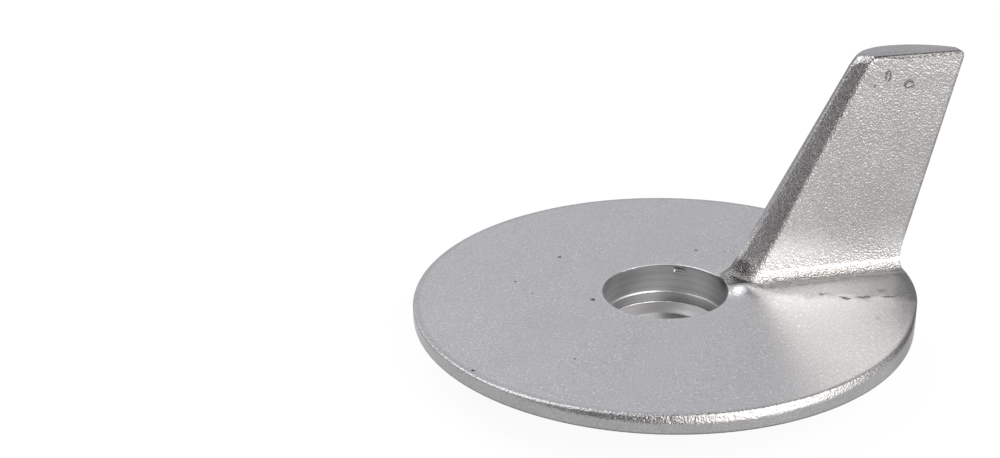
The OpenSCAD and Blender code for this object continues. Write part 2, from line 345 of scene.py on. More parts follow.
def rim(x, y, z, r):
    """Side of the disc with its bevel and the bulge under the fin."""
    shift_x = -BEVEL_SHIFT * math.cos(BEVEL_HEADING)
    shift_y = -BEVEL_SHIFT * math.sin(BEVEL_HEADING)
    r_bevel = np.hypot(x - shift_x, y - shift_y)
    bevel = ((r_bevel - DISC_RADIUS - BEVEL_SHIFT) * math.cos(BEVEL_ANGLE)
             + (z - BEVEL_START) * math.sin(BEVEL_ANGLE))
    side = rounded_cut(r - DISC_RADIUS, bevel, BEVEL_EDGE)
    return blended_join(side, lobe(x, y), LOBE_BLEND)


def disc(x, y, z, r):
    plate = rounded_cut(rim(x, y, z, r), raised_face(x, y, z), TOP_EDGE)
    return rounded_cut(plate, -z, MOUNT_EDGE)


def boss(z, r):
    slope = math.atan((BOSS_ROOT_RADIUS - BOSS_END_RADIUS) / BOSS_HEIGHT)
    cone = (r - BOSS_ROOT_RADIUS) * math.cos(slope) - z * math.sin(slope)
    cone = np.maximum(cone, z - SEAT_DEPTH)
    return rounded_cut(cone, -BOSS_HEIGHT - z, BOSS_EDGE)


def locating_pin(x, y, z):
    shaft = np.hypot(x + PIN_DISTANCE, y) - PIN_RADIUS
    shaft = np.maximum(shaft, z - SEAT_DEPTH)
    return rounded_cut(shaft, -PIN_LENGTH - z, PIN_EDGE)


def bolt_passage(z, r):
    """Counterbore and bolt hole, as an outline that closes behind the axis."""
    face = DISC_THICKNESS
    top = face + PASSAGE_ABOVE
    bottom = -BOSS_HEIGHT - PASSAGE_BELOW
    behind = -1
    lower = BORE_RADIUS - BORE_STEP
    return polygon_distance(r, z, [
        (behind, top),
        (BORE_RADIUS, top),
        (BORE_RADIUS, face - BORE_LAND),
        (lower, face - BORE_LAND - BORE_STEP),
        (lower, face - BORE_WALL),
        (BORE_FLOOR_RADIUS, face - BORE_DEPTH),
        (HOLE_RADIUS, face - BORE_DEPTH),
        (HOLE_RADIUS, HOLE_CHAMFER - BOSS_HEIGHT),
        (HOLE_RADIUS + HOLE_CHAMFER + PASSAGE_BELOW, bottom),
        (behind, bottom),
    ])


def foil(q):
    """Section of the fin, endless below the apex."""
    split = dot(q, ROUND_SPLIT)
    rounded = np.where(split <= 0, cone_distance(q, REAR_AXIS, REAR_ANGLE),
                       cone_distance(q, NOSE_AXIS, NOSE_ANGLE))
    blunt = np.maximum(rounded, dot(q, NOSE_PLANE))
    along = dot(q, LEAD_AXIS)
    w = [q[i] - along * LEAD_AXIS[i] for i in range(3)]
    from_plane = np.cross(LEAD_AXIS, LEAD_TO_PLANE)
    from_cone = np.cross(LEAD_AXIS, LEAD_TO_CONE)
    if from_plane @ LEAD_TO_CONE < 0:
        from_plane = -from_plane
    if from_cone @ LEAD_TO_PLANE < 0:
        from_cone = -from_cone
    at_lead = (dot(w, from_plane) > 0) & (dot(w, from_cone) > 0)
    blunt = np.where(at_lead, cone_distance(q, LEAD_AXIS, LEAD_ANGLE), blunt)
    return rounded_cut(blunt, -q[1], FIN_EDGE)


# Corners of the fin in its side view, along and up
LEAD_FOOT = np.array([
    APEX_X - (APEX_X - FIN_LEAD_TIP) * (APEX_Z - FIN_FOOT) / (APEX_Z - FIN_HEIGHT),
    FIN_FOOT,
])
FOOT_END = min(FIN_TRAIL_ROOT + FOOT_OVERRUN, DISC_RADIUS + LOBE_REACH - RIM_SETBACK)
TRAIL_FOOT = np.array([
    FOOT_END,
    DISC_THICKNESS + (FOOT_END - FIN_TRAIL_ROOT) * fin_rise / trail_run,
])
LEAD_TOP = np.array([
    FIN_LEAD_TIP,
    FIN_HEIGHT - math.tan(FIN_TIP_SLOPE) * (FIN_CREASE_TIP - FIN_LEAD_TIP),
])
TRAIL_TOP = np.array([
    FIN_TRAIL_TIP,
    FIN_HEIGHT + math.tan(FIN_TIP_SLOPE) * (FIN_TRAIL_TIP - FIN_CREASE_TIP),
])
TRAIL_RUN = unit(TRAIL_TOP - TRAIL_FOOT)


def round_corner(u, v, distance, corner, before, after, radius):
    """Rounds the corner of an outline between two neighbouring points."""
    to_before = unit(before - corner)
    to_after = unit(after - corner)
    half = math.acos(to_before @ to_after) / 2
    middle = corner + unit(to_before + to_after) * radius / math.sin(half)
    du, dv = u - middle[0], v - middle[1]
    in_corner = ((du * to_before[0] + dv * to_before[1] < 0)
                 & (du * to_after[0] + dv * to_after[1] < 0))
    return np.where(in_corner, np.hypot(du, dv) - radius, distance)


def fin_outline(u, v):
    """Distance to the side view of the fin: tip, trailing edge and its foot."""
    along_tip = unit(TRAIL_TOP - LEAD_TOP)
    tip = (v - LEAD_TOP[1]) * along_tip[0] - (u - LEAD_TOP[0]) * along_tip[1]
    trail = (u - TRAIL_TOP[0]) * TRAIL_RUN[1] - (v - TRAIL_TOP[1]) * TRAIL_RUN[0]
    upright = np.maximum(u - TRAIL_FOOT[0], v - TRAIL_FOOT[1])
    outline = np.maximum(tip, blended_join(trail, upright, FOOT_BLEND))
    outline = round_corner(u, v, outline, LEAD_TOP, LEAD_FOOT, TRAIL_TOP, FIN_LEAD_CORNER)
    return round_corner(u, v, outline, TRAIL_TOP, TRAIL_FOOT, LEAD_TOP, FIN_TRAIL_CORNER)


def to_fin(x, y):
    """Position along and across the fin."""
    u = x * math.cos(FIN_HEADING) + y * math.sin(FIN_HEADING)
    w = -x * math.sin(FIN_HEADING) + y * math.cos(FIN_HEADING)
    return u, w


def fin(x, y, z):
    u, w = to_fin(x, y)
    side, up = w - APEX_Y, z - APEX_Z
    q = [
        u - APEX_X,
        side * math.cos(FIN_DRAFT) - up * math.sin(FIN_DRAFT),
        side * math.sin(FIN_DRAFT) + up * math.cos(FIN_DRAFT),
    ]
    corner = LEAD_CORNER_PLACE
    near_corner = (u - corner[0]) ** 2 + (w - corner[1]) ** 2 + (z - corner[2]) ** 2
    edge = FIN_EDGE + (LEAD_CORNER_EDGE - FIN_EDGE) * bell(near_corner, LEAD_CORNER_SPREAD)
    blade = rounded_cut(foil(q), fin_outline(u, z), edge)
    return np.maximum(blade, FIN_FOOT - z)


def fin_root(x, y, z, r, blade):
    """Fillet around the fin, on the face and within the rim only."""
    near_lead = bell((x - LEAD_PLACE[0]) ** 2 + (y - LEAD_PLACE[1]) ** 2, LEAD_SPREAD)
    fillet = FIN_FILLET + (LEAD_FILLET - FIN_FILLET) * near_lead
    root = filleted_join(raised_face(x, y, z), blade, fillet)
    root = rounded_cut(root, rim(x, y, z, r) + RIM_SETBACK, TOP_EDGE)
    return np.maximum(root, np.maximum(blade - FILLET_REACH, FIN_FOOT - z))


def flaws(x, y, z):
    """Distance to the pits, the nick and the chip."""
    nearest = None
    for px, py, mouth in FACE_PITS:
        depth = mouth * PIT_DEPTH_SHARE
        ball = (mouth ** 2 / 4 + depth ** 2) / (2 * depth)
        pz = face_height(px, py) + ball - depth
        pit = np.sqrt((x - px) ** 2 + (y - py) ** 2 + (z - pz) ** 2) - ball
        nearest = pit if nearest is None else np.minimum(nearest, pit)
    out = x * math.cos(NICK_HEADING) + y * math.sin(NICK_HEADING) - DISC_RADIUS
    aside = y * math.cos(NICK_HEADING) - x * math.sin(NICK_HEADING)
    across = (out + z - DISC_THICKNESS - NICK_RADIUS) * math.sqrt(0.5)
    nick = np.hypot(across, aside) - NICK_RADIUS
    nick = np.maximum(nick, NICK_INNER_END - np.hypot(x, y))
    out = x * math.cos(CHIP_HEADING) + y * math.sin(CHIP_HEADING) - BORE_RADIUS
    aside = y * math.cos(CHIP_HEADING) - x * math.sin(CHIP_HEADING)
    chip = np.hypot(out, z - DISC_THICKNESS + CHIP_BELOW_FACE) - CHIP_RADIUS
    chip = np.maximum(chip, np.abs(aside) - CHIP_LENGTH / 2)
    return np.minimum(np.minimum(nearest, nick), chip)


def casting(x, y, z):
    """Distance in millimetres to the surface of the casting."""
    r = np.hypot(x, y)
    body = filleted_join(disc(x, y, z, r), boss(z, r), BOSS_FILLET)
    body = filleted_join(body, locating_pin(x, y, z), PIN_FILLET)
    blade = fin(x, y, z)
    body = np.minimum(np.minimum(body, blade), fin_root(x, y, z, r, blade))
    body = rounded_cut(body, -bolt_passage(z, r), BORE_EDGE)
    return np.maximum(body, -flaws(x, y, z))


def steps(low, high, step):
    return np.linspace(low, high, int(math.ceil((high - low) / step)) + 1)


def sample_grid():
    """Distances on a grid that is finer in the disc than along the fin."""
    xs = steps(LOW[0] - MARGIN, HIGH[0] + MARGIN, GRID_STEP)
    ys = steps(-DISC_RADIUS - MARGIN, DISC_RADIUS + MARGIN, GRID_STEP)
    slab = steps(-BOSS_HEIGHT - MARGIN, SLAB_TOP, SLAB_STEP)
    above = steps(SLAB_TOP, HIGH[2] + MARGIN, FIN_STEP)[1:]
    zs = np.concatenate([slab, above])
    values = np.full((len(xs), len(ys), len(zs)), FAR_OUTSIDE, np.float32)

    def fill(i, j, k):
        x = xs[i].astype(np.float32)[:, None, None]
        y = ys[j].astype(np.float32)[None, :, None]
        z = zs[k].astype(np.float32)[None, None, :]
        values[i, j, k] = casting(x, y, z)

    everywhere = slice(None)
    for start in range(0, len(xs), ROWS_AT_ONCE):
        fill(slice(start, start + ROWS_AT_ONCE), everywhere, slice(0, len(slab)))
    near_x = slice(int(np.searchsorted(xs, FIN_BLOCK_FRONT)), len(xs))
    near_y = slice(*(int(side) for side in np.searchsorted(ys, FIN_BLOCK_SIDES)))
    fill(near_x, near_y, slice(len(slab), len(zs)))
    return xs, ys, zs, values


def gradient(points):
    x, y, z = points.T
    parts = []
    for axis in range(3):
        offset = np.zeros(3)
        offset[axis] = PROBE
        ahead = casting(x + offset[0], y + offset[1], z + offset[2])
        behind = casting(x - offset[0], y - offset[1], z - offset[2])
        parts.append((ahead - behind) / (2 * PROBE))
    return np.stack(parts, 1)


def normals_at(points):
    slope = gradient(points)
    return slope / np.maximum(np.linalg.norm(slope, axis=1, keepdims=True), TINY)


def crossings(grid, values, axis):
    """Grid edges along one axis that pass through the surface."""
    inside = values < 0
    first = [slice(None)] * 3
    second = [slice(None)] * 3
    first[axis] = slice(None, -1)
    second[axis] = slice(1, None)
    first, second = tuple(first), tuple(second)
    index = np.stack(np.nonzero(inside[first] != inside[second]), 1)
    start = values[first][tuple(index.T)].astype(float)
    end = values[second][tuple(index.T)].astype(float)
    origin = np.stack([grid[a][index[:, a]] for a in range(3)], 1)
    length = grid[axis][index[:, axis] + 1] - grid[axis][index[:, axis]]
    low, high = np.zeros(len(index)), np.ones(len(index))
    low_value, high_value = start.copy(), end.copy()
    for _ in range(CROSSING_ROUNDS):
        share = low + (high - low) * low_value / (low_value - high_value)
        points = origin.copy()
        points[:, axis] += share * length
        value = casting(*points.T)
        same = (value < 0) == (low_value < 0)
        low = np.where(same, share, low)
        low_value = np.where(same, value, low_value)
        high = np.where(same, high, share)
        high_value = np.where(same, high_value, value)
        low_value = np.where(low_value == 0, TINY, low_value)
    return index, points, start < 0


def mesh_surface(grid, values):
    """Dual mesh: one corner in each cell that the surface passes, at the
    point that fits the planes of its crossings best."""
    shape = np.array([len(g) - 1 for g in grid])
    cell_ids, cell_points, quads = [], [], []
    for axis in range(3):
        index, points, goes_out = crossings(grid, values, axis)
        one, two = (axis + 1) % 3, (axis + 2) % 3
        around = []
        for back_one, back_two in ((1, 1), (0, 1), (0, 0), (1, 0)):
            cell = index.copy()
            cell[:, one] -= back_one
            cell[:, two] -= back_two
            around.append((cell[:, 0] * shape[1] + cell[:, 1]) * shape[2] + cell[:, 2])
        quad = np.stack(around, 1)
        quad = np.where(goes_out[:, None], quad, quad[:, ::-1])
        quads.append(quad)
        cell_ids.append(quad.ravel())
        cell_points.append(np.repeat(points, 4, 0))
    quads = np.concatenate(quads)
    ids, inverse = np.unique(np.concatenate(cell_ids), return_inverse=True)
    points = np.concatenate(cell_points)
    flat = np.concatenate([p[::4] for p in cell_points])
    normals = np.repeat(normals_at(flat), 4, 0)
    count = np.bincount(inverse)

    def total(weights):
        return np.bincount(inverse, weights)

    centre = np.stack([total(points[:, a]) for a in range(3)], 1) / count[:, None]
    offset = ((points - centre[inverse]) * normals).sum(1)
    right = np.stack([total(normals[:, a] * offset) for a in range(3)], 1)
    matrix = np.empty((len(ids), 3, 3))
    for a in range(3):
        for b in range(3):
            matrix[:, a, b] = total(normals[:, a] * normals[:, b])
        matrix[:, a, a] += MIDDLE_PULL * count
    move = np.linalg.solve(matrix, right[:, :, None])[:, :, 0]
    cell = np.stack(np.unravel_index(ids, shape), 1)
    low = np.stack([grid[a][cell[:, a]] for a in range(3)], 1)
    high = np.stack([grid[a][cell[:, a] + 1] for a in range(3)], 1)
    corners = np.clip(centre + move, low, high)
    faces = np.searchsorted(ids, quads)
    return corners, faces


def settle(points):
    """Moves points onto the surface along its slope."""
    points = points.copy()
    for _ in range(SETTLE_ROUNDS):
        slope = gradient(points)
        square = np.maximum((slope ** 2).sum(1), SLOPE_FLOOR)
        value = np.clip(casting(*points.T), -SETTLE_STRIDE, SETTLE_STRIDE)
        points -= (value / square)[:, None] * slope
    return points


def flat_around(points):
    """Whether the surface is flat for a stretch around each point."""
    normal = normals_at(points)
    along_y = np.abs(normal[:, :1]) >= 0.7
    helper = np.where(along_y, [[0, 1.0, 0]], [[1.0, 0, 0]])
    side = np.cross(normal, helper)
    side /= np.linalg.norm(side, axis=1, keepdims=True)
    other = np.cross(normal, side)
    flat = np.ones(len(points), bool)
    for direction in (side, -side, other, -other):
        near = points + direction * FLAT_REACH
        flat &= (normals_at(near) * normal).sum(1) > FLAT_COSINE
        flat &= np.abs(casting(*near.T)) < FLAT_GAP
    return flat


def build_mesh(name, points, faces):
    mesh = bpy.data.meshes.new(name)
    mesh.vertices.add(len(points))
    mesh.vertices.foreach_set("co", (points * MM).astype(np.float32).ravel())
    mesh.loops.add(faces.size)
    mesh.loops.foreach_set("vertex_index", faces.astype(np.int32).ravel())
    mesh.polygons.add(len(faces))
    starts = np.arange(0, faces.size, faces.shape[1], dtype=np.int32)
    mesh.polygons.foreach_set("loop_start", starts)
    mesh.update(calc_edges=True)
    mesh.validate()
    return mesh


def mesh_points(mesh):
    co = np.empty(len(mesh.vertices) * 3, np.float32)
    mesh.vertices.foreach_get("co", co)
    return co.reshape(-1, 3).astype(float) / MM


def thin_out(obj, flat):
    """Merges corners, first where the surface is flat, until about the wanted
    number of triangles is left."""
    group = obj.vertex_groups.new(name="flat")
    group.add([int(i) for i in np.nonzero(flat)[0]], 1.0, "REPLACE")
    triangles = 2 * len(obj.data.polygons)
    decimate = obj.modifiers.new("thin_out", "DECIMATE")
    decimate.ratio = min(1, TRIANGLES_WANTED / triangles)
    decimate.vertex_group = group.name
    decimate.vertex_group_factor = FLAT_FIRST
    graph = bpy.context.evaluated_depsgraph_get()
    mesh = bpy.data.meshes.new_from_object(obj.evaluated_get(graph))
    obj.modifiers.clear()
    obj.vertex_groups.clear()
    old, obj.data = obj.data, mesh
    bpy.data.meshes.remove(old)
    mesh.name = obj.name


def store(mesh, name, values):
    """Keeps one number for each corner, for the material."""
    attribute = mesh.attributes.new(name, "FLOAT", "POINT")
    attribute.data.foreach_set("value", values.astype(np.float32))


def make_casting():
    """Mesh of the field, thinned out where it is flat, with its own normals."""
    *grid, values = sample_grid()
    points, faces = mesh_surface(grid, values)
    obj = bpy.data.objects.new("casting", build_mesh("casting", points, faces))
    bpy.context.scene.collection.objects.link(obj)
    thin_out(obj, flat_around(points))
    mesh = obj.data
    points = settle(mesh_points(mesh))
    mesh.vertices.foreach_set("co", (points * MM).astype(np.float32).ravel())
    mesh.polygons.foreach_set("use_smooth", np.ones(len(mesh.polygons), bool))
    mesh.update()
    mesh.normals_split_custom_set_from_vertices(normals_at(points).tolist())
    store(mesh, "fin_gap", fin(*points.T))
    store(mesh, "face_gap", face_distance(*points.T))
    return obj


# Camera, fitted to the outlines in the photograph
PHOTO_WIDTH = 1000
PHOTO_HEIGHT = 458
FOCAL_PIXELS = 1485.5
AXIS_PIXEL = (689.5, 239.0)
ORIGIN_PIXEL = (664.95, 305.04)
CAMERA_DISTANCE = 0.2858
CAMERA_ELEVATION = math.radians(23.87)
CAMERA_ROLL = math.radians(2.20)
CAMERA_HEADING = math.radians(-5.3)
SENSOR_WIDTH = 36.0
NEAR_CLIP = 0.01
FAR_CLIP = 20


def make_camera():
    data = bpy.data.cameras.new("camera")
    camera = bpy.data.objects.new("camera", data)
    bpy.context.scene.collection.objects.link(camera)
    bpy.context.scene.camera = camera
    data.sensor_width = SENSOR_WIDTH
    data.lens = FOCAL_PIXELS / PHOTO_WIDTH * SENSOR_WIDTH
    data.shift_x = (PHOTO_WIDTH / 2 - AXIS_PIXEL[0]) / PHOTO_WIDTH
    data.shift_y = (AXIS_PIXEL[1] - PHOTO_HEIGHT / 2) / PHOTO_WIDTH
    data.clip_start = NEAR_CLIP
    data.clip_end = FAR_CLIP
    ahead = Vector((0, math.cos(CAMERA_ELEVATION), -math.sin(CAMERA_ELEVATION)))
    right = Vector((1, 0, 0))
    up = right.cross(ahead)
    axis_x = right * math.cos(CAMERA_ROLL) + up * math.sin(CAMERA_ROLL)
    axis_y = up * math.cos(CAMERA_ROLL) - right * math.sin(CAMERA_ROLL)
    aside = (ORIGIN_PIXEL[0] - AXIS_PIXEL[0]) / FOCAL_PIXELS * CAMERA_DISTANCE
    above = -(ORIGIN_PIXEL[1] - AXIS_PIXEL[1]) / FOCAL_PIXELS * CAMERA_DISTANCE
    place = -axis_x * aside - axis_y * above - ahead * CAMERA_DISTANCE
    turn = Matrix.Rotation(CAMERA_HEADING, 4, "Z")
    axes = Matrix((axis_x, axis_y, -ahead)).transposed().to_4x4()
    camera.matrix_world = turn @ Matrix.Translation(place) @ axes


class Shader:
    """Short names for the nodes of one material or world."""

    def __init__(self, owner):
        owner.use_nodes = True
        self.tree = owner.node_tree
        self.tree.nodes.clear()

    def set(self, socket, value):
        if isinstance(value, bpy.types.NodeSocket):
            self.tree.links.new(value, socket)
        elif value is not None:
            socket.default_value = value

    def node(self, kind, inputs=(), **settings):
        node = self.tree.nodes.new(kind)
        for name, value in settings.items():
            setattr(node, name, value)
        for name, value in dict(inputs).items():
            self.set(node.inputs[name], value)
        return node

    def math(self, operation, a, b=None):
        node = self.node("ShaderNodeMath", operation=operation)
        self.set(node.inputs[0], a)
        self.set(node.inputs[1], b)
        return node.outputs[0]

    def vector(self, operation, a, b=None, scale=None):
        node = self.node("ShaderNodeVectorMath", operation=operation)
        self.set(node.inputs[0], a)
        self.set(node.inputs[1], b)
        if scale is not None:
            self.set(node.inputs["Scale"], scale)
        gives_number = operation in ("DOT_PRODUCT", "LENGTH", "DISTANCE")
        return node.outputs["Value" if gives_number else "Vector"]

    def ramp(self, value, low, high, start=0.0, end=1.0, smooth=True):
        """Runs from start at low to end at high, and stays there beyond."""
        kind = "SMOOTHSTEP" if smooth else "LINEAR"
        node = self.node("ShaderNodeMapRange", interpolation_type=kind, clamp=True)
        for i, item in enumerate((value, low, high, start, end)):
            self.set(node.inputs[i], item)
        return node.outputs[0]

    def mix(self, factor, a, b):
        node = self.node("ShaderNodeMix", data_type="RGBA")
        for socket, value in zip((0, 6, 7), (factor, a, b)):
            self.set(node.inputs[socket], value)
        return node.outputs[2]

    def product(self, *values):
        result = values[0]
        for value in values[1:]:
            result = self.math("MULTIPLY", result, value)
        return result

    def total(self, *values):
        result = values[0]
        for value in values[1:]:
            result = self.math("ADD", result, value)
        return result

    def largest(self, *values):
        result = values[0]
        for value in values[1:]:
            result = self.math("MAXIMUM", result, value)
        return result

    def absolute(self, value):
        return self.math("ABSOLUTE", value)

    def remainder(self, share):
        return self.math("SUBTRACT", 1.0, share)

    def distance(self, a, b):
        return self.vector("DISTANCE", a, b)

    def plane_gap(self, place, plane):
        """Distance from a plane, positive on the side of its normal."""
        normal, offset = plane
        return self.math("SUBTRACT", self.vector("DOT_PRODUCT", place, normal), offset)

    def weighted(self, regions, weights):
        """Sum of the named regions, each times its weight."""
        return self.total(*(self.product(getattr(regions, name), weight)
                            for name, weight in weights.items()))

    def combine(self, *values):
        return self.node("ShaderNodeCombineXYZ", enumerate(values)).outputs[0]

    def attribute(self, name):
        return self.node("ShaderNodeAttribute", attribute_name=name).outputs["Fac"]

    def noise(self, vector, scale, detail=2.0, output="Fac"):
        inputs = {"Vector": vector, "Scale": scale, "Detail": detail}
        return self.node("ShaderNodeTexNoise", inputs).outputs[output]


def direction(heading, elevation):
    """Unit vector for a heading and an elevation in degrees."""
    heading, elevation = math.radians(heading), math.radians(elevation)
    level = math.cos(elevation)
    return (math.cos(heading) * level, math.sin(heading) * level, math.sin(elevation))


# Studio walls, and dark screens before them: heading and elevation of the
# middle, and the angles at which each screen is full and at which it ends
WALL_COLOUR = (0.76, 0.76, 0.79, 1)
SCREEN_COLOUR = (0.15, 0.138, 0.138, 1)
SCREENS = [
    (-105, 20, 22, 42),
    (-15, 66, 20, 34),
    (18, 4, 14, 27),
]


def make_world():
    world = bpy.data.worlds.new("studio")
    bpy.context.scene.world = world
    nodes = Shader(world)
    towards = nodes.node("ShaderNodeTexCoord").outputs["Generated"]
    shares = []
    for heading, elevation, inner, outer in SCREENS:
        facing = nodes.vector("DOT_PRODUCT", towards, direction(heading, elevation))
        outside = math.cos(math.radians(outer))
        inside = math.cos(math.radians(inner))
        shares.append(nodes.ramp(facing, outside, inside))
    colour = nodes.mix(nodes.largest(*shares), WALL_COLOUR, SCREEN_COLOUR)
    walls = nodes.node("ShaderNodeBackground", {"Color": colour, "Strength": 1.0})
    nodes.node("ShaderNodeOutputWorld", {"Surface": walls.outputs[0]})


FLOOR_SIZE = 8
FLOOR_COLOUR = (0.9, 0.9, 0.9, 1)
GLOW_COLOUR = (1, 1, 1, 1)
FLOOR_GLOW = 0.92


def make_floor():
    """Pale floor, seen nearly white and with a soft shadow. From below it is
    clear, so that views of the mounting side are open."""
    bpy.ops.mesh.primitive_plane_add(size=FLOOR_SIZE, location=(0, 0, -BOSS_HEIGHT * MM))
    floor = bpy.context.object
    floor.name = "floor"
    material = bpy.data.materials.new("floor")
    nodes = Shader(material)
    plain = nodes.node("ShaderNodeBsdfDiffuse", {"Color": FLOOR_COLOUR}).outputs[0]
    glow = nodes.node("ShaderNodeEmission", {"Color": GLOW_COLOUR, "Strength": 1.0}).outputs[0]
    path = nodes.node("ShaderNodeLightPath").outputs
    rays = ("Is Camera Ray", "Is Glossy Ray", "Is Transmission Ray")
    share = nodes.product(nodes.largest(*(path[ray] for ray in rays)), FLOOR_GLOW)
    above = nodes.node("ShaderNodeMixShader", {0: share, 1: plain, 2: glow}).outputs[0]
    is_below = nodes.node("ShaderNodeNewGeometry").outputs["Backfacing"]
    clear = nodes.node("ShaderNodeBsdfTransparent").outputs[0]
    surface = nodes.node("ShaderNodeMixShader", {0: is_below, 1: above, 2: clear}).outputs[0]
    nodes.node("ShaderNodeOutputMaterial", {"Surface": surface})
    floor.data.materials.append(material)


# Soft boxes: name, heading, elevation, distance, size, radiance and colour
SOFT_BOXES = [
    ("left", 155, 57, 0.8, (0.95, 0.50), 2.6, (1, 1, 1)),
    ("front_right", -44, 33, 0.8, (1.08, 0.84), 3.5, (1, 0.98, 0.95)),
]


def soft_box(name, heading, elevation, distance, size, radiance, colour):
    """Area light that faces the object, with the given radiance."""
    data = bpy.data.lights.new(name, "AREA")
    data.shape = "RECTANGLE"
    data.size, data.size_y = size
    data.energy = radiance * math.pi * size[0] * size[1]
    data.color = colour
    light = bpy.data.objects.new(name, data)
    bpy.context.scene.collection.objects.link(light)
    away = Vector(direction(heading, elevation))
    light.location = away * distance
    light.rotation_mode = "QUATERNION"
    light.rotation_quaternion = (-away).to_track_quat("-Z", "Y")


# Flaws that show as dark marks: pits by place and width of the mouth, and the
# others by middle and half sizes in millimetres, and how dark each is. The dark
# in the pits, and in the spots over a face pit and over the chip, is painted
# shade in these hollows. Wrinkles are bent by a noise, and rings are open in the
# middle. The edges are shares of the mouth or of the half sizes.
PITS = [(x, y, face_height(x, y), mouth) for x, y, mouth in FACE_PITS]
DARK_SPOTS = [
    (7.4, 19.0, 3.1, 0.25, 0.3, 0.3, 0.6),
    (15.8, 20.3, 3.2, 0.2, 0.3, 0.3, 0.6),
    (13.2, 17.8, 3.2, 0.2, 0.25, 0.3, 0.5),
    (8.6, 15.8, 3.15, 0.2, 0.25, 0.3, 0.5),
    (13.6, 0.6, 4.0, 0.9, 0.35, 1.0, 0.8),
    (16.4, 0.6, 4.0, 1.2, 1.0, 1.2, 0.5),
    (39.18, 9.29, 41.4, 0.3, 0.3, 0.3, 0.7),
    (3.4, 11.7, 2.3, 0.9, 0.8, 0.35, 0.75),
    (-5.7, 36.5, 0.0, 0.35, 0.35, 0.5, 0.8),
    (32.4, 22.3, 0.0, 0.3, 0.3, 0.5, 0.8),
    (25.4, -35.8, 0.0, 0.4, 0.3, 0.5, 0.8),
]
WRINKLES = [
    (30.3, -2.6, 3.6, 1.0, 0.35, 0.8, 0.6),
    (33.9, -4.5, 3.7, 1.0, 0.45, 0.8, 0.8),
    (37.4, -4.3, 3.75, 1.5, 0.40, 0.8, 0.8),
    (42.3, -4.5, 3.85, 1.9, 0.45, 0.8, 0.8),
    (41.8, -1.4, 3.8, 0.9, 0.5, 0.8, 0.5),
    (38.9, -12.6, 3.9, 0.7, 0.8, 0.8, 0.4),
]
RINGS = [
    (41.7, 9.9, 43.2, 0.6, 0.9, 1.05, 0.85),
    (46.1, 10.8, 41.4, 1.05, 0.9, 0.85, 0.85),
]
PIT_SHADE = 0.97
PIT_EDGE = (0.5, 0.35)
MARK_EDGE = (1.2, 0.8)
RING_EDGE = (0.5, 0.75)
WRINKLE_BEND = 3.0
FLAW_ROUGHNESS = 0.4
FLAW_DEPTH = 0.15

# Light spots: middle and radius. The first, on the mound before the nose, is a painted
# highlight; the others are small light spots on the mounting face.
LIGHT_SPOTS = [
    (14.8, -0.9, 4.0, 2.3),
    (-24.5, -18.1, 0.0, 0.45),
    (13.0, -28.4, 0.0, 0.7),
    (29.9, 31.5, 0.0, 0.5),
    (11.0, -28.9, 0.0, 0.4),
]

# Arc of the flow line on the mounting side
FLOW_MIDDLE = (8.4, 24.95, 0)
FLOW_RADIUS = 11.3

CAST_COLOUR = (0.58, 0.58, 0.59, 1)
# The fin is darker than the disc as painted shade, and lighter towards its root as a painted
# reflection of a soft box
FIN_SHADE_COLOUR = (0.42, 0.407, 0.404, 1)
FIN_ROOT_GLARE_COLOUR = (0.69, 0.675, 0.665, 1)
# The side of the disc is darker as painted shade
RIM_SHADE_COLOUR = (0.40, 0.395, 0.395, 1)
# The counterbore is darker as painted shade in the recess
BORE_SHADE_COLOUR = (0.52, 0.52, 0.525, 1)
LIGHT_COLOUR = (0.85, 0.85, 0.86, 1)
DARK_COLOUR = (0.05, 0.048, 0.046, 1)
SPECULAR_LEVEL = 0.2
CAST_ROUGHNESS = 0.30
ROUGHNESS_CHANGE = {"blade": -0.04, "bore": 0.08}

# Scales of the noises, in features per millimetre
FINE_SCALE = 2.6
MIDDLE_SCALE = 0.8
BROAD_SCALE = 0.12
JAGGED_SCALE = 1.1
APRON_SCALE = 0.35
WOBBLE_SCALE = 3.0
BEND_SCALE = 0.7
TONE_SCALE = 3.0
GLINT_SCALE = 2.4
TURNED_SCALE = 3.0

# Height of the grain in millimetres: everywhere, and what each region adds
FINE_EVERYWHERE = 0.035
FINE_GRAIN = {
    "blade": 0.10,
    "rim": 0.10,
    "apron": 0.06,
    "bore_edge": 0.06,
    "foot": 0.10,
    "mound": 0.05,
}
MIDDLE_EVERYWHERE = 0.008
MIDDLE_GRAIN = {
    "nose": 0.03,
    "blade": 0.035,
    "rim": 0.06,
    "apron": 0.08,
    "foot": 0.06,
}
TURNED_GRAIN = {"bore": 0.03, "boss": 0.03}
BOSS_GRAIN = 0.05
STROKE_GRAIN = 0.10
STROKES_ALONG = 0.25
STROKES_UP = 1.8
STROKES_LEAN = 1.1
# Behind the flat side of the fin the relief falls with the square of the
# depth, down to a limit, so that the nose and the tip look rounder
FALL_LIMIT = 2.4
FALL_SHARE = 0.10

# How dark the marks are. On the face: the far part, as painted shade, and the
# apron, a darker strip along the foot of the fin's flat side. The lines: all are
# painted shade or painted shadow except the flow line and the rings of the bore.
# And the tones.
FACE_SHADES = {"apron": 0.3, "far_face": 0.42}
DARK_LINES = {
    "foot_line": 0.5,
    "tip_line": 0.75,
    "right_rim": 0.7,
    "flow_line": 0.6,
    "trail_line": 0.35,
    "hem": 0.4,
    "lead": 0.75,
    "bore_shade": 1.0,
    "bore_rings": 0.3,
}
TONE_SHARE = 0.34

# How light the broad tones, the painted glints and the light spots are, and the part
# of the painted glints that is left on the blade
BROAD_SHARE = 0.08
GLINT_SHARE = 0.6
GLINTS_ON_BLADE = 0.4
LIGHT_SPOT_SHARE = 0.9

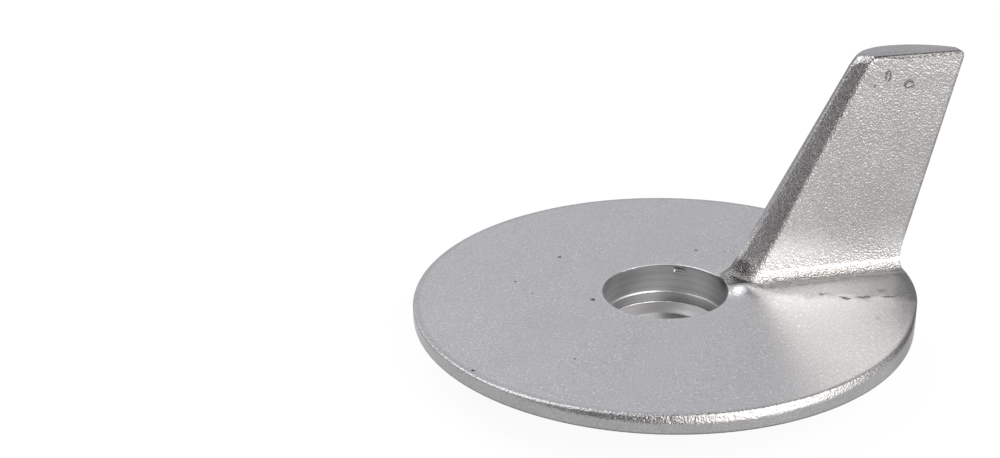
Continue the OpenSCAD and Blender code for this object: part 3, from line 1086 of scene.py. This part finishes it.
# Regions and dark lines of the material. Each is the product of regions above
# it and of fades. A fade has a measure, the values of it at which it starts
# and is full, and its two ends where they aren't 0 and 1. All measures are in
# millimetres, except the noise of the turned grain.
REGIONS = {
    "blade": [("fin_gap", 3.2, 1.0)],
    "upper_blade": [("blade",), ("face_gap", 1.0, 12.0)],
    # Lower part of the fin, lighter in the colour as a painted reflection
    "fin_root": [("z", 15, 6)],
    "foot": [("blade",), ("face_gap", 6, 1)],
    "nose": [("blade",), ("off_nose", 0.5, 0.15)],
    "tip": [("blade",), ("off_flat", 0.5, 0.15), ("tip_band", 1.5, -2.5)],
    "bore": [("r", 12.2, 12.05), ("z", -8.95, -8.7), ("face_gap", -0.05, -0.25)],
    "bore_edge": [("r", 12.9, 12.3), ("face_gap", -0.3, -0.1)],
    "bore_shade": [("bore",), ("z", -4.2, -5.2), ("x", -1, 8, 0.1, 0.6)],
    "bore_rings": [("bore",), ("turned", 0.45, 0.65)],
    "rim": [("r", 46.0, 47.0), ("face_gap", 0.1, -0.1), ("z", 0.0, 0.3)],
    # Painted shade on the right of the rim
    "right_rim": [("rim",), ("x", 36, 44)],
    # Painted shadow along the lower edge of the rim, next to the mounting face
    "hem": [("z", 0.55, 0.25), ("r", 46.8, 47.1)],
    "boss": [("z", -0.6, -1.2), ("r", 19, 18.5)],
    "mound": [("from_mound", 8, 4)],
    "apron": [("apron_reach", -2.2, 0.8), ("x", 15, 22), ("off_face", 2.0, 1.0),
              ("flat_gap", 0.3, -0.3)],
    # Painted shade on the far right of the face
    "far_face": [("x", 30, 46), ("y", -32, -8), ("off_face", 2.0, 1.0), ("fin_gap", 2, 4)],
    # Painted shade in the crease at the foot of the fin, with a jagged edge
    "foot_line": [("jagged_gap", 2.9, 3.4), ("jagged_gap", 4.8, 4.1), ("x", 15, 17),
                  ("y", 12, 8), ("off_face", 1.2, 0.4)],
    # Painted shade along the rounded edge below the tip, on the flat side
    "tip_line": [("off_tip_line", 0.6, 0.25), ("off_flat", 0.7, 0.35)],
    # Painted shade along the trailing edge of the flat side
    "trail_line": [("blade",), ("trail_gap", 1.0, 0.2), ("z", 8, 12)],
    # Painted shade at the foot of the fin's nose
    "lead": [("from_lead", 4.5, 2.5), ("y", 0.9, 1.6)],
    "flow_line": [("off_flow", 0.3, 0.1), ("x", 2.2, 1.4), ("y", 17, 18.5),
                  ("off_mount", 0.6, 0.3)],
}

# Middles of two regions, the grained mound and the painted shade at the foot of
# the nose, and how the tip's strokes, the painted shade line below the tip and
# the edge of the apron lean with x
MOUND_MIDDLE = (15, -1, 3.3)
LEAD_MIDDLE = (13.8, 4.0, 4.5)
TIP_BAND_LEAN = -0.12
TIP_LINE_DEPTH = 0.95
TIP_LINE_LEAN = 0.02
APRON_LEAN = 0.1

# Normal of the flat side in the frame of the fin, towards the metal
FLAT_SIDE = (0, 1, 0)

# How far the noises move the edges of marks and lines. For the pits and the
# flow line it is a multiple of the first.
WOBBLE = 0.25
PIT_WOBBLE = 0.3
FLOW_WOBBLE = 1.2
TIP_LINE_WOBBLE = 0.3
JAGGED_WOBBLE = 1.0
APRON_WOBBLE = 1.5

# Values of a noise between which most of it lies, and those that the dark
# tones and the painted glints use
NOISE_SPAN = (0.3, 0.7)
WIDE_NOISE_SPAN = (0.25, 0.75)
TONE_SPAN = (0.2, 0.8)
GLINT_SPAN = (0.62, 0.72)


def fin_plane(normal):
    """World normal and offset of a plane through the apex of the fin."""
    cos_h, sin_h = math.cos(FIN_HEADING), math.sin(FIN_HEADING)
    cos_d, sin_d = math.cos(FIN_DRAFT), math.sin(FIN_DRAFT)
    turn = np.array([
        [cos_h, sin_h, 0],
        [-sin_h * cos_d, cos_h * cos_d, -sin_d],
        [-sin_h * sin_d, cos_h * sin_d, cos_d],
    ])
    apex = np.array([
        APEX_X * cos_h - APEX_Y * sin_h,
        APEX_X * sin_h + APEX_Y * cos_h,
        APEX_Z,
    ])
    world = np.asarray(normal, float) @ turn
    return tuple(world), float(world @ apex)


def trail_plane():
    """World normal and offset of the trailing edge, with the normal towards
    the metal."""
    along, up = -TRAIL_RUN[1], TRAIL_RUN[0]
    normal = (along * math.cos(FIN_HEADING), along * math.sin(FIN_HEADING), up)
    return normal, along * TRAIL_TOP[0] + up * TRAIL_TOP[1]


def measures(n):
    """Places and gaps in millimetres, and the noises that several looks use."""
    metres = n.node("ShaderNodeTexCoord").outputs["Object"]
    place = n.vector("SCALE", metres, scale=1 / MM)
    x, y, z = n.node("ShaderNodeSeparateXYZ", {0: place}).outputs
    at = SimpleNamespace(place=place, x=x, y=y, z=z)
    at.r = n.math("SQRT", n.total(n.product(x, x), n.product(y, y)))

    at.fine = n.noise(place, FINE_SCALE)
    at.middle = n.noise(place, MIDDLE_SCALE)
    at.turned = n.noise(n.combine(0.0, 0.0, n.product(z, TURNED_SCALE)), 1.0, 3)
    at.wobble = n.ramp(n.noise(place, WOBBLE_SCALE), *NOISE_SPAN, -WOBBLE, WOBBLE)

    at.fin_gap = n.attribute("fin_gap")
    at.face_gap = n.attribute("face_gap")
    at.flat_gap = n.plane_gap(place, fin_plane(FLAT_SIDE))
    at.trail_gap = n.plane_gap(place, trail_plane())
    at.off_mount = n.absolute(z)
    at.off_face = n.absolute(at.face_gap)
    at.off_flat = n.absolute(at.flat_gap)
    at.off_nose = n.absolute(n.plane_gap(place, fin_plane(NOSE_PLANE)))
    at.from_mound = n.distance(place, MOUND_MIDDLE)
    at.from_lead = n.distance(place, LEAD_MIDDLE)

    below_tip = n.math("SUBTRACT", FIN_HEIGHT, z)
    at.tip_band = n.total(below_tip, n.product(x, TIP_BAND_LEAN))
    shift = n.ramp(at.fine, *NOISE_SPAN, -TIP_LINE_WOBBLE, TIP_LINE_WOBBLE)
    tip_line = n.total(below_tip, shift, n.product(x, TIP_LINE_LEAN), -TIP_LINE_DEPTH)
    at.off_tip_line = n.absolute(tip_line)
    shift = n.noise(place, JAGGED_SCALE, 3)
    shift = n.ramp(shift, *WIDE_NOISE_SPAN, -JAGGED_WOBBLE, JAGGED_WOBBLE)
    at.jagged_gap = n.total(at.fin_gap, shift)
    shift = n.noise(place, APRON_SCALE, 3)
    shift = n.ramp(shift, *WIDE_NOISE_SPAN, -APRON_WOBBLE, APRON_WOBBLE)
    at.apron_reach = n.total(y, n.product(x, APRON_LEAN), shift)
    flow = n.math("SUBTRACT", n.distance(place, FLOW_MIDDLE), FLOW_RADIUS)
    at.off_flow = n.absolute(n.total(flow, n.product(at.wobble, FLOW_WOBBLE)))
    return at


def add_regions(n, at):
    """Shares of the regions and lines, from 0 to 1."""
    for name, fades in REGIONS.items():
        shares = []
        for measure, *band in fades:
            value = getattr(at, measure)
            shares.append(n.ramp(value, *band) if band else value)
        setattr(at, name, n.product(*shares))
    at.not_bore = n.remainder(at.bore)
    at.boss = n.product(at.boss, at.not_bore)


def flaw_marks(n, at):
    """Share of the pits, spots, wrinkles and rings; in the pits and the chip the dark is
    painted shade.
    """
    shift = n.noise(at.place, BEND_SCALE, 1, output="Color")
    shift = n.vector("SUBTRACT", shift, (0.5, 0.5, 0.5))
    bent = n.vector("ADD", at.place, n.vector("SCALE", shift, scale=WRINKLE_BEND))
    marks = []
    for px, py, pz, mouth in PITS:
        spread = n.total(n.distance(at.place, (px, py, pz)), n.product(at.wobble, PIT_WOBBLE))
        outer, inner = (mouth * share for share in PIT_EDGE)
        marks.append(n.ramp(spread, outer, inner, 0, PIT_SHADE))
    for group, place in ((DARK_SPOTS, at.place), (WRINKLES, bent), (RINGS, at.place)):
        for px, py, pz, hx, hy, hz, dark in group:
            offset = n.vector("SUBTRACT", place, (px, py, pz))
            spread = n.vector("MULTIPLY", offset, (1 / hx, 1 / hy, 1 / hz))
            spread = n.total(n.vector("LENGTH", spread), at.wobble)
            mark = n.ramp(spread, *MARK_EDGE, 0, dark)
            if group is RINGS:
                mark = n.product(mark, n.ramp(spread, *RING_EDGE))
            marks.append(mark)
    return n.largest(*marks)


def grain(n, at):
    """Relief of the surface in millimetres."""
    fine = n.total(FINE_EVERYWHERE, n.weighted(at, FINE_GRAIN))
    middle = n.total(MIDDLE_EVERYWHERE, n.weighted(at, MIDDLE_GRAIN))
    leaning = n.total(n.product(at.z, STROKES_UP), n.product(at.x, STROKES_LEAN))
    stroke_place = n.combine(n.product(at.x, STROKES_ALONG), n.product(at.y, STROKES_ALONG),
                             leaning)
    strokes = n.noise(stroke_place, 1.0, 3)
    depth = n.math("MINIMUM", n.math("MAXIMUM", at.flat_gap, 0.0), FALL_LIMIT)
    return n.total(
        n.product(at.fine, fine, at.not_bore),
        n.product(at.middle, middle, at.not_bore),
        n.product(at.turned, n.weighted(at, TURNED_GRAIN)),
        n.product(at.middle, at.boss, BOSS_GRAIN),
        n.product(strokes, at.tip, STROKE_GRAIN),
        n.product(depth, depth, at.upper_blade, -FALL_SHARE),
    )


def metal_colour(n, at, flaws):
    """Colour by region, with painted shade on the fin, rim and bore and a painted reflection
    at the fin's root, with tones, painted glints and light spots, darkened by lines and flaws,
    most of them painted shade.
    """
    # Painted shade on the fin, lightening to a painted reflection at its root
    colour = n.mix(at.fin_root, FIN_SHADE_COLOUR, FIN_ROOT_GLARE_COLOUR)
    colour = n.mix(at.blade, CAST_COLOUR, colour)
    # Painted shade on the side of the disc
    colour = n.mix(at.rim, colour, RIM_SHADE_COLOUR)
    # Painted shade in the counterbore
    colour = n.mix(at.bore, colour, BORE_SHADE_COLOUR)
    broad = n.noise(at.place, BROAD_SCALE)
    colour = n.mix(n.ramp(broad, *NOISE_SPAN, 0, BROAD_SHARE), colour, LIGHT_COLOUR)
    tone = n.noise(at.place, TONE_SCALE, 1)
    tone = n.ramp(tone, *TONE_SPAN, 0, TONE_SHARE, smooth=False)
    colour = n.mix(n.product(tone, at.not_bore), colour, DARK_COLOUR)
    # The specks are painted glints: bright flecks in the colour that stand in for sparkle
    glints_and_spots = n.ramp(n.noise(at.place, GLINT_SCALE, 1), *GLINT_SPAN, 0, GLINT_SHARE)
    glints_and_spots = n.product(glints_and_spots, at.not_bore, n.remainder(at.rim),
                      n.ramp(at.blade, 0.0, 1.0, 1.0, GLINTS_ON_BLADE))
    for px, py, pz, radius in LIGHT_SPOTS:
        spread = n.total(n.distance(at.place, (px, py, pz)), at.wobble)
        glints_and_spots = n.largest(glints_and_spots, n.ramp(spread, radius, radius * 0.5, 0, LIGHT_SPOT_SHARE))
    colour = n.mix(glints_and_spots, colour, LIGHT_COLOUR)
    lines = (n.product(getattr(at, name), dark) for name, dark in DARK_LINES.items())
    darkness = n.largest(flaws, *lines, n.weighted(at, FACE_SHADES))
    return n.mix(darkness, colour, DARK_COLOUR)


def cast_metal():
    """Bare cast metal: smooth on the disc, grained on the fin and the rim,
    turned in the counterbore, with the flaws of the photograph."""
    material = bpy.data.materials.new("cast_metal")
    n = Shader(material)
    at = measures(n)
    add_regions(n, at)
    flaws = flaw_marks(n, at)
    relief = n.math("SUBTRACT", grain(n, at), n.product(flaws, FLAW_DEPTH))
    bump = n.node("ShaderNodeBump", {"Strength": 1.0, "Distance": MM, "Height": relief})
    shader = n.node("ShaderNodeBsdfPrincipled", {
        "Base Color": metal_colour(n, at, flaws),
        "Metallic": n.remainder(flaws),
        "Roughness": n.total(CAST_ROUGHNESS, n.weighted(at, ROUGHNESS_CHANGE),
                             n.product(flaws, FLAW_ROUGHNESS)),
        "Specular IOR Level": SPECULAR_LEVEL,
        "Normal": bump.outputs[0],
    })
    n.node("ShaderNodeOutputMaterial", {"Surface": shader.outputs[0]})
    return material


make_camera()
make_world()
make_floor()
for box in SOFT_BOXES:
    soft_box(*box)
body = make_casting()
body.data.materials.append(cast_metal())
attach(body, "root")
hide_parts(NODE)
bpy.context.scene.view_settings.view_transform = "Standard"
